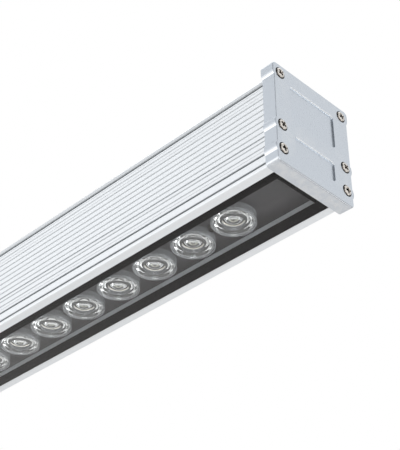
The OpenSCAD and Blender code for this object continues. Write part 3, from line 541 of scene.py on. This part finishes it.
tree.links.new(shaded(tree, colour, speck["Shade"]), bsdf.inputs["Base Color"])
blasted = ranged(tree, speck["Height"], 0.3, 0.7, 0.25, 0.36)
rough = math(tree, "ADD", blasted, math(tree, "MULTIPLY", on_side, 0.11))
rough = math(tree, "ADD", rough, math(tree, "MULTIPLY", lit_wall, 0.4))
tree.links.new(rough, bsdf.inputs["Roughness"])
raised(tree, bsdf, speck["Height"], 0.03)
to_piece("right_cap_casting", cap_casting(False), "lamp", ["right_end_cap"], cap_paint)
to_piece("left_cap_casting", cap_casting(True), "lamp", ["left_end_cap"], cap_paint)


# Gaskets and other rubber
# Black silicone between the caps and the body, and the seals of the gland and the wires. A cut edge
# is matt and a little dusty.
def grained(tree, bsdf, colour, strength, size, bump=0.0):
    speck = use(tree, grain, Strength=strength, Size=size)
    tree.links.new(shaded(tree, colour, speck["Shade"]), bsdf.inputs["Base Color"])
    if bump:
        raised(tree, bsdf, speck["Height"], bump)
    return speck


BLACK_RUBBER = (0.03, 0.03, 0.033)
rubber, tree, bsdf = finish("black_rubber", BLACK_RUBBER, Roughness=0.75)
dusty = mixed_colour(tree, use(tree, dust, Amount=0.3)["Mask"], BLACK_RUBBER, (0.2, 0.19, 0.18))
grained(tree, bsdf, dusty, strength=0.35, size=1.4, bump=0.3)
for name in ("right_end_gasket", "left_end_gasket", "gland_o_ring", "gland_seal", "wire_grommet"):
    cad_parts[name].material_slots[0].material = rubber


# Cap screws
# Stainless pan head screws with a cross recess, six in each cap. Each head sits in a round pocket,
# and its crown stands a little out of the cap's face.
HEAD_TOP = CAP_FACE + 0.8 * MM
HEAD_BACK = HEAD_TOP - 2.4 * MM
HEAD_R = 3 * MM
HEAD_BEVEL = 0.12 * MM
CROWN_R = 1.9 * MM
CROWN_H = 1.05 * MM
CROWN_X = HEAD_TOP - 0.05 * MM
SHANK_R = 1.45 * MM
SHANK_L = 6 * MM
CROSS_WIDE = 0.6 * MM
CROSS_LONG = 1.85 * MM


def ring(bm, x, radius):
    return round_hole(bm, x, (0, 0), radius, 32)


def cross_recess(bm):
    wide, long = CROSS_WIDE, CROSS_LONG
    arm = [(long, -wide), (long, wide), (wide, wide)]
    outline = arm + [(-z, y) for y, z in arm] + [(-y, -z) for y, z in arm] + [(z, -y) for y, z in arm]
    crosses = []
    for depth, size, narrow in ((0, 1.0, 1.0), (0.25 * MM, 0.92, 0.97), (1.65 * MM, 0.5, 0.8)):
        verts = [bm.verts.new((CROWN_X - depth, y * (size if abs(y) > wide * 1.1 else narrow),
                               z * (size if abs(z) > wide * 1.1 else narrow))) for y, z in outline]
        crosses.append(joined(bm, verts))
    bridged(bm, crosses)
    filled(bm, [crosses[-1]])
    return crosses[0]


def pan_head_screw():
    bm = bmesh.new()
    loops = [ring(bm, HEAD_BACK - SHANK_L, SHANK_R), ring(bm, HEAD_BACK, SHANK_R),
             ring(bm, HEAD_BACK, HEAD_R - 0.1 * MM), ring(bm, HEAD_BACK + HEAD_BEVEL, HEAD_R)]
    loops += [ring(bm, CROWN_X - CROWN_H * (1 - sin(turned)), CROWN_R + (HEAD_R - CROWN_R) * cos(turned))
              for turned in quarter_turn(6)]
    bridged(bm, loops)
    bmesh.ops.edgeloop_fill(bm, edges=loops[0])
    filled(bm, [loops[-1], cross_recess(bm)])
    return bm


def many(single, moves):
    bm = bmesh.new()
    mesh = bpy.data.meshes.new("one")
    bmesh.ops.remove_doubles(single, verts=single.verts, dist=1e-7)
    bmesh.ops.recalc_face_normals(single, faces=single.faces)
    single.to_mesh(mesh)
    single.free()
    for move in moves:
        first = len(bm.verts)
        bm.from_mesh(mesh)
        bm.verts.ensure_lookup_table()
        bmesh.ops.transform(bm, matrix=move, verts=bm.verts[first:])
    bpy.data.meshes.remove(mesh)
    return bm


# Shade painted on the recess and the side of each head, darker by depth
STEEL = (0.6, 0.57, 0.53)
screw_steel, tree, bsdf = finish("screw_steel", STEEL, Metallic=1.0, Roughness=0.22)
sunk = ranged(tree, below_face(tree, positions(tree)["X"]), -0.66 * MM, -0.1 * MM, 0, 1)
steel_with_painted_shade = mixed_colour(tree, sunk, STEEL, (0.035, 0.028, 0.024))
speck = grained(tree, bsdf, steel_with_painted_shade, strength=0.25, size=2.0, bump=0.08)
roughened(tree, bsdf, speck["Height"], 0.18, 0.34)
# How far each of the six is turned, in radians
turns = (0.3, 1.1, 0.7, 0.2, 0.9, 0.5)
places = [(y, z) for y in (-SCREW_Y, SCREW_Y) for z in SCREW_ZS]
right_moves = [Matrix.Translation((0, y, z)) @ Matrix.Rotation(turned, 4, "X")
               for (y, z), turned in zip(places, turns)]
flip = Matrix.Translation((2 * BAR_MIDDLE, 0, 0)) @ Matrix.Rotation(pi, 4, "Z")
for end, moves in (("right", right_moves), ("left", [flip @ move for move in right_moves])):
    to_piece(f"{end}_cap_screw_set", many(pan_head_screw(), moves), "lamp",
             [f"{end}_cap_screws"], screw_steel, sharp=40)


# Window
# Clear tempered glass with a black print along its edges, held by a dark bead of sealant. Its
# mirror reflection is turned down to a tenth, and the print's to next to nothing.
BORDER_BLACK = (0.020, 0.017, 0.021)
SEALANT_GREY = (0.06, 0.06, 0.065)


def clear_finish(name, colour, index, roughness, mirrored, shadow, through=1.0):
    made, tree, bsdf = finish(name, colour, IOR=index, Roughness=roughness)
    bsdf.inputs["Transmission Weight"].default_value = through
    bsdf.inputs["Specular Tint"].default_value = (mirrored, mirrored, mirrored, 1)
    thin = add_node(tree, "ShaderNodeBsdfTransparent", {"Color": (shadow, shadow, shadow, 1)})
    mix = mixed_shader(tree, ray(tree, "Is Shadow Ray"), bsdf, thin)
    tree.links.new(mix.outputs[0], tree.nodes["Material Output"].inputs["Surface"])
    return made, tree, bsdf


window_glass, tree, bsdf = clear_finish("window_glass", (0.96, 0.98, 0.98), index=1.5, roughness=0.0,
                                        mirrored=0.1, shadow=0.95)
smear = noise(tree, (14, 40, 40), 4)
tree.links.new(ranged(tree, smear, 0.55, 0.75, 0.0, 0.03), bsdf.inputs["Roughness"])
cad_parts["window_glass"].material_slots[0].material = window_glass

border_ink, tree, bsdf = finish("border_ink", BORDER_BLACK, Roughness=0.6, Specular_IOR_Level=0.05)
grained(tree, bsdf, BORDER_BLACK, strength=0.2, size=0.7)
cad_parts["window_border"].material_slots[0].material = border_ink

sealant, tree, bsdf = finish("dark_sealant", SEALANT_GREY, Roughness=0.5)
grained(tree, bsdf, SEALANT_GREY, strength=0.3, size=3.0, bump=0.4)
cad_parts["window_sealant"].material_slots[0].material = sealant


# LED boards
# Two aluminium-backed boards end to end under a dark satin solder mask. Shade is painted on them under the
# row of lenses, which makes them darker there.
MASK_DARK = (0.043, 0.039, 0.044)
board_mask, tree, bsdf = finish("dark_mask", MASK_DARK, Roughness=0.45)
from_row = math(tree, "ABSOLUTE", positions(tree)["Y"])
row_shade = ranged(tree, from_row, 4 * MM, 8 * MM, 1, 0)
grained(tree, bsdf, mixed_colour(tree, row_shade, MASK_DARK, (0.024, 0.022, 0.026)), strength=0.25, size=0.8,
        bump=0.15)
for name in ("right_led_board", "left_led_board"):
    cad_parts[name].material_slots[0].material = board_mask


# LED packages
# A white package with a small square chip in its middle, soldered to the board behind every lens.
# The clear dome over the chip isn't modelled.
holder_low, holder_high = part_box("lens_holders")
LENS_R = (holder_high[1] - holder_low[1]) / 2
LENS_N = 30
LENS_STEP = (holder_high[0] - holder_low[0] - 2 * LENS_R) / (LENS_N - 1)
LENS_FRONT = holder_low[2]
BOARD_Z = holder_high[2]
CHIP_SIDE = 2.9 * MM
CHIP_T = 0.32 * MM
CHIP_EDGE = 0.08 * MM
CHIP_Z = BOARD_Z - 1.33 * MM
PACKAGE_WHITE = (0.62, 0.6, 0.52)
PHOSPHOR = (0.1, 0.09, 0.06)
row = [Matrix.Translation((holder_low[0] + LENS_R + i * LENS_STEP, 0, 0)) for i in range(LENS_N)]


def outline(start, points):
    return [(radius * MM, start + height * MM) for radius, height in points]


def turned_solid(profile, steps=48, closed=True):
    bm = bmesh.new()
    verts = [bm.verts.new((r, 0, z)) for r, z in profile]
    pairs = list(zip(verts, verts[1:])) + ([(verts[-1], verts[0])] if closed else [])
    edges = [bm.edges.new(pair) for pair in pairs]
    bmesh.ops.spin(bm, geom=verts + edges, cent=(0, 0, 0), axis=(0, 0, 1), angle=2 * pi, steps=steps,
                   use_merge=True)
    bmesh.ops.remove_doubles(bm, verts=bm.verts, dist=1e-6)
    return bm


package_white, tree, bsdf = finish("package_white", PACKAGE_WHITE, Roughness=0.35)
grained(tree, bsdf, PACKAGE_WHITE, strength=0.1, size=0.6)
package_outline = outline(BOARD_Z, ((0, -1.2), (1.9, -1.2), (2.1, -1.45), (2.35, -1.45), (2.5, -1.3),
                                    (2.5, 0), (0, 0)))
package = turned_solid(package_outline, closed=False)
to_piece("led_package_rings", many(package, row), "lamp", ["led_chips"], package_white)

phosphor, tree, bsdf = finish("phosphor", PHOSPHOR, Roughness=0.22)
grained(tree, bsdf, PHOSPHOR, strength=0.3, size=0.4)
chip = bmesh.new()
chip_size = Matrix.Diagonal((CHIP_SIDE, CHIP_SIDE, CHIP_T, 1))
bmesh.ops.create_cube(chip, size=1.0, matrix=Matrix.Translation((0, 0, CHIP_Z)) @ chip_size)
bmesh.ops.bevel(chip, geom=chip.edges[:], offset=CHIP_EDGE, offset_type="OFFSET", affect="EDGES", segments=2,
                profile=0.5, material=-1)
to_piece("led_chip_row", many(chip, row), "lamp", ["led_chips"], phosphor)


# Lens holders
# Clear moulded cylinders on the board. Each has a shelf for the lens's edge, and its wall looks
# smoky because the dark board shows through it.
HOLDER_IN = LENS_R - 0.75 * MM
HOLDER_EDGE = 0.2 * MM
SHELF_R = HOLDER_IN - 0.85 * MM
SHELF_Z = LENS_FRONT + 1.65 * MM
SHELF_BACK = SHELF_Z + 0.65 * MM
holder_clear, tree, bsdf = clear_finish("holder_clear", (0.72, 0.74, 0.77), index=1.49, roughness=0.18,
                                        mirrored=1.0, shadow=0.8, through=0.82)
holder_outline = [(HOLDER_IN + HOLDER_EDGE, LENS_FRONT), (LENS_R - HOLDER_EDGE, LENS_FRONT),
                  (LENS_R, LENS_FRONT + HOLDER_EDGE), (LENS_R, BOARD_Z - HOLDER_EDGE),
                  (LENS_R - HOLDER_EDGE, BOARD_Z), (HOLDER_IN + HOLDER_EDGE, BOARD_Z),
                  (HOLDER_IN, BOARD_Z - HOLDER_EDGE), (HOLDER_IN, SHELF_BACK), (SHELF_R, SHELF_BACK),
                  (SHELF_R, SHELF_Z), (HOLDER_IN, SHELF_Z), (HOLDER_IN, LENS_FRONT + HOLDER_EDGE)]
holder = turned_solid(holder_outline, steps=56)
to_piece("lens_holder_row", many(holder, row), "lamp", ["lens_holders"], holder_clear)


# Lenses
# Clear acrylic collimators: a flat front edge, a shallow well over the chip, a cone that throws the
# light forward, and a cup round the package.
EDGE_R = HOLDER_IN - 0.1 * MM
EDGE_BACK = SHELF_Z - 0.05 * MM
lens_clear, tree, bsdf = clear_finish("lens_clear", (0.985, 0.99, 1.0), index=1.49, roughness=0.02,
                                      mirrored=1.0, shadow=0.9)
well = outline(LENS_FRONT, ((0, 1.1), (1.6, 1.25), (3.1, 1.7), (4.5, 2.35), (5.5, 3), (6, 3), (6.35, 0.3),
                            (6.6, 0.1)))
rim = [(EDGE_R - 0.3 * MM, LENS_FRONT + 0.1 * MM), (EDGE_R, LENS_FRONT + 0.4 * MM),
       (EDGE_R, EDGE_BACK - 0.15 * MM), (EDGE_R - 0.15 * MM, EDGE_BACK), (10.6 * MM, EDGE_BACK)]
cone = outline(LENS_FRONT, ((10.3, 2.2), (9.5, 2.7), (9.1, 3.7), (8.1, 4.1), (7.4, 5), (5.6, 5.45),
                            (4.5, 5.45), (4.25, 5.3), (3.9, 3.6), (2.2, 3.9), (0, 4)))
lens = turned_solid(well + rim + cone, steps=56, closed=False)
to_piece("lens_row", many(lens, row), "lamp", ["lenses"], lens_clear, sharp=38, weighted=False)

# The moulded lip round the floor of the well shows as a cream ring. Its metal finish stands for the
# light that clear plastic catches there.
lens_lip, tree, bsdf = finish("lens_lip", (0.93, 0.88, 0.78), Metallic=0.9, Roughness=0.22)
lip_outline = outline(LENS_FRONT, ((5.62, 2.6), (5.8, 2.46), (5.98, 2.6), (5.98, 2.9), (5.62, 2.9)))
to_piece("lens_lip_rings", many(turned_solid(lip_outline), row), "lamp", ["lenses"], lens_lip)


# Parts inside the body
# The driver on its tray, the wires, the earth screw and the terminal block, all behind the boards.
# They are plain mouldings, varnished boards and brass.
def plain_moulding(name, colour, roughness, size):
    made, tree, bsdf = finish(name, colour, Roughness=roughness)
    grained(tree, bsdf, colour, strength=0.25, size=size, bump=0.2)
    return made


RED = (0.55, 0.04, 0.03)
BRASS = (0.72, 0.53, 0.26)
inside = {
    "driver_tray": plain_moulding("tray_black", (0.06, 0.06, 0.065), 0.55, 1.5),
    "driver_board": plain_moulding("green_mask", (0.03, 0.16, 0.07), 0.4, 0.8),
    "driver_components": plain_moulding("varnished_parts", (0.09, 0.09, 0.11), 0.35, 1.0),
    "terminal_block": plain_moulding("terminal_green", (0.05, 0.22, 0.1), 0.45, 1.2),
    "led_wires": plain_moulding("red_insulation", RED, 0.35, 1.0),
    "board_link_wires": plain_moulding("red_link_insulation", RED, 0.35, 1.0),
    "earth_wire": plain_moulding("earth_insulation", (0.35, 0.42, 0.05), 0.4, 1.0),
}
for name, material in inside.items():
    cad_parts[name].material_slots[0].material = material
brass, tree, bsdf = finish("brass", BRASS, Metallic=1.0, Roughness=0.3)
grained(tree, bsdf, BRASS, strength=0.25, size=2.0)
for name in ("earth_screw", "gland_locknut"):
    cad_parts[name].material_slots[0].material = brass
for name in ("board_screws", "driver_screws"):
    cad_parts[name].material_slots[0].material = screw_steel


# Cable gland
# Black nylon, moulded with a fine texture: a hexagon collar against the cap and a dome nut. Its
# moulded edges are soft.
GLAND_EDGE = 0.3 * MM
SHARPER_THAN = radians(28)


def softened(name, width):
    bm = bmesh.new()
    bm.from_mesh(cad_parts[name].data)
    bmesh.ops.remove_doubles(bm, verts=bm.verts, dist=2e-6)
    bmesh.ops.dissolve_limit(bm, angle_limit=radians(1), verts=bm.verts, edges=bm.edges,
                             use_dissolve_boundaries=False)
    sharp = [e for e in bm.edges if len(e.link_faces) == 2 and e.calc_face_angle() > SHARPER_THAN]
    bmesh.ops.bevel(bm, geom=sharp, offset=width, offset_type="OFFSET", affect="EDGES", segments=2,
                    profile=0.5, material=-1, clamp_overlap=True)
    return bm


nylon = plain_moulding("black_nylon", (0.028, 0.028, 0.03), 0.5, 1.2)
for name, node in (("gland_collar", "gland_body"), ("gland_nut", "gland_dome_nut")):
    to_piece(name, softened(node, GLAND_EDGE), "lamp", [node], nylon)


# Wall brackets
# Bent aluminium sheet, brushed and cut with soft edges: a shoe that slides along the rail on a
# clamping bolt, and a slotted foot that tilts on two flanged bolts.
SHEET_EDGE = 0.35 * MM
BOLT_EDGE = 0.25 * MM
SHEET_GREY = (0.6, 0.61, 0.62)
BOLT_GREY = (0.6, 0.6, 0.61)
sheet, tree, bsdf = finish("bracket_sheet", SHEET_GREY, Metallic=0.95, Roughness=0.45)
lines = use(tree, die_lines, Strength=0.16)
colour = mixed_colour(tree, use(tree, edge_wear, Amount=0.8)["Mask"], SHEET_GREY, (0.74, 0.74, 0.74))
colour = mixed_colour(tree, use(tree, dust, Amount=0.25)["Mask"], colour, (0.5, 0.48, 0.45))
tree.links.new(shaded(tree, colour, lines["Shade"]), bsdf.inputs["Base Color"])
roughened(tree, bsdf, lines["Height"], 0.32, 0.5)
raised(tree, bsdf, lines["Height"], 0.15)

bolt_steel, tree, bsdf = finish("bolt_steel", BOLT_GREY, Metallic=1.0, Roughness=0.28)
speck = grained(tree, bsdf, BOLT_GREY, strength=0.3, size=2.0)
roughened(tree, bsdf, speck["Height"], 0.22, 0.4)
for end in ("right", "left"):
    to_piece(f"{end}_shoe", softened(f"{end}_bracket_shoe", SHEET_EDGE), f"{end}_bracket",
             [f"{end}_bracket_shoe"], sheet)
    to_piece(f"{end}_foot_plate", softened(f"{end}_wall_foot", SHEET_EDGE), f"{end}_foot",
             [f"{end}_wall_foot"], sheet)
    for node, name in (("rail_nut", "slide_nut"), ("rail_bolt", "clamp_bolt"), ("pivot_bolts", "tilt_bolts"),
                       ("pivot_nuts", "tilt_nuts"), ("pivot_washers", "tilt_washers")):
        to_piece(f"{end}_{name}", softened(f"{end}_{node}", BOLT_EDGE), f"{end}_bracket",
                 [f"{end}_{node}"], bolt_steel)
